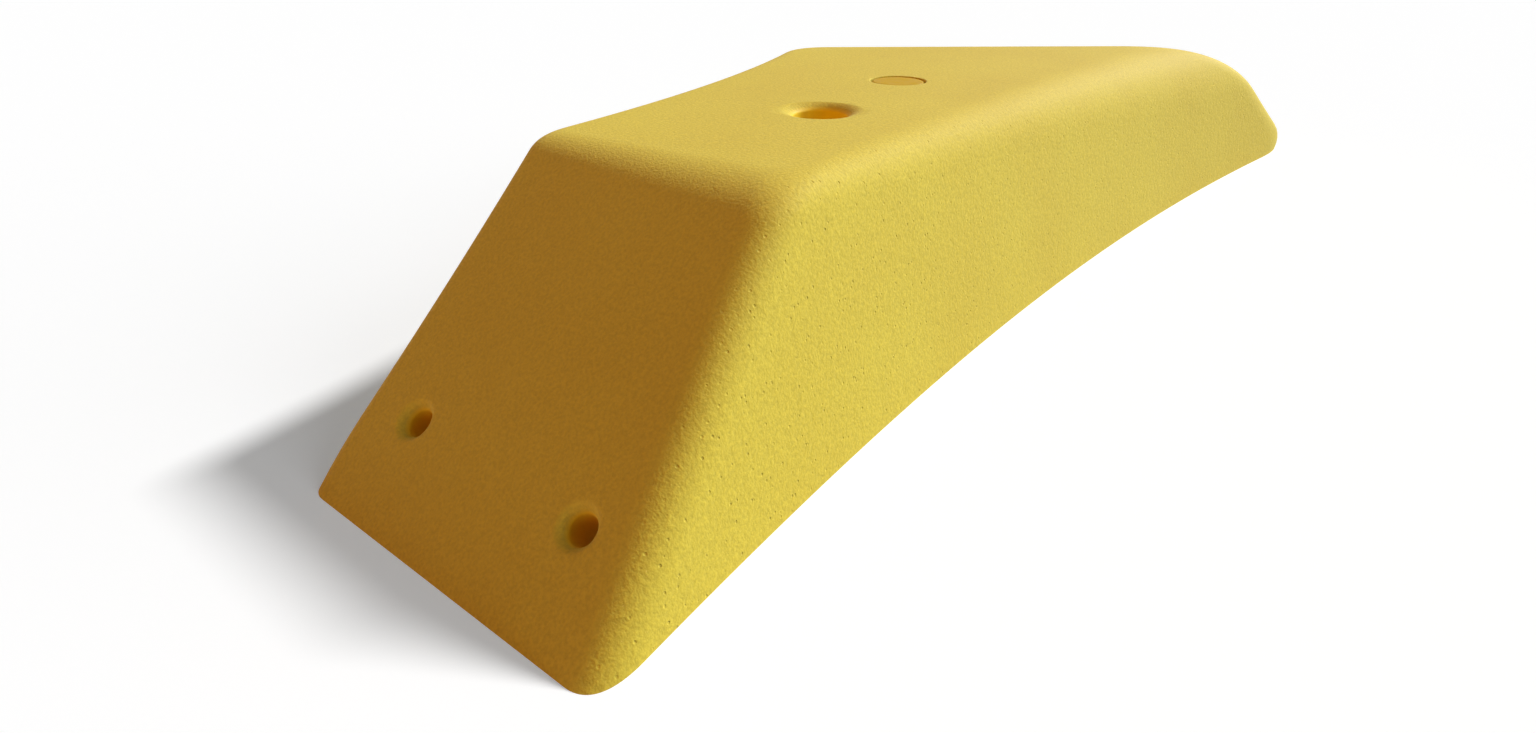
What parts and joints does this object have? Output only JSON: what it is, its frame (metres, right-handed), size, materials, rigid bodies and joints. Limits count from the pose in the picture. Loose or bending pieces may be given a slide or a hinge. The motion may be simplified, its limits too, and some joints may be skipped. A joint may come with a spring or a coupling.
{
  "type": "climbing volume",
  "caption": "Hollow cast climbing volume: a long, low, flared block with waisted long sides, a recessed bolt hole in its top face, small screw holes at its foot and a bare round badge.",
  "frame": {"origin": "middle of the footprint's bounding box, on the plane of the flat back", "axes": "+X along the length from the shallow near face to the narrow far end, +Y to the straight-standing left side, +Z out of the wall or up off the floor"},
  "size_m": [0.5022, 0.2164, 0.0701],
  "materials": {
    "cast_resin": "satin cast polyurethane resin with a fine sandy grain, yellow right through",
    "badge_resin": "smooth satin resin, a shade deeper than the body",
    "washer_steel": "bright zinc-plated steel"
  },
  "bodies": {
    "root": {"body_shell": "cast_resin", "badge_disc": "badge_resin", "bolt_washer": "washer_steel", "screw_washer_near_left": "washer_steel", "screw_washer_near_right": "washer_steel", "screw_washer_far_left": "washer_steel", "screw_washer_far_right": "washer_steel"}
  },
  "joints": []
}
